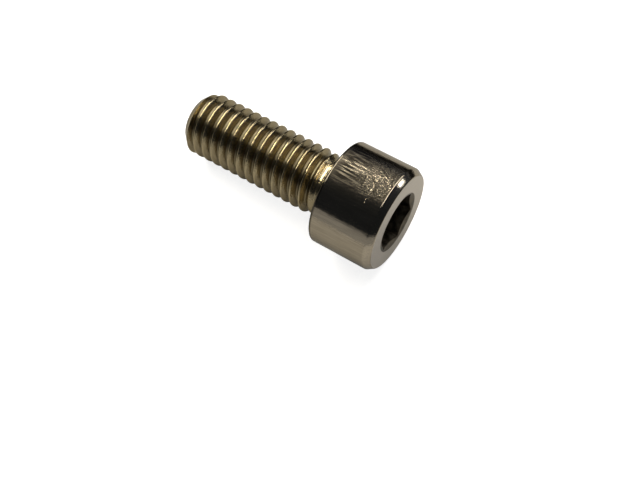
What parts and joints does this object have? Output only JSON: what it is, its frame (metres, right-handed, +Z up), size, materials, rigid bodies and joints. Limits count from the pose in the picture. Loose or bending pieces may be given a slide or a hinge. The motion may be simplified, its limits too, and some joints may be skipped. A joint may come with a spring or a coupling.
{
  "type": "socket head cap screw",
  "caption": "Metal machine screw with a plain cylindrical head, a hexagon socket and a coarse right-hand thread up to the head.",
  "frame": {"origin": "middle of the footprint, on the surface that the screw lies on", "axes": "+Z up; the screw lies along X, with its head towards +X and its tip towards -X"},
  "size_m": [0.0288, 0.0128, 0.0136],
  "materials": {
    "nickel_steel": "bright nickel plate, lightly scuffed"
  },
  "bodies": {
    "root": {"screw": "nickel_steel"}
  },
  "joints": []
}
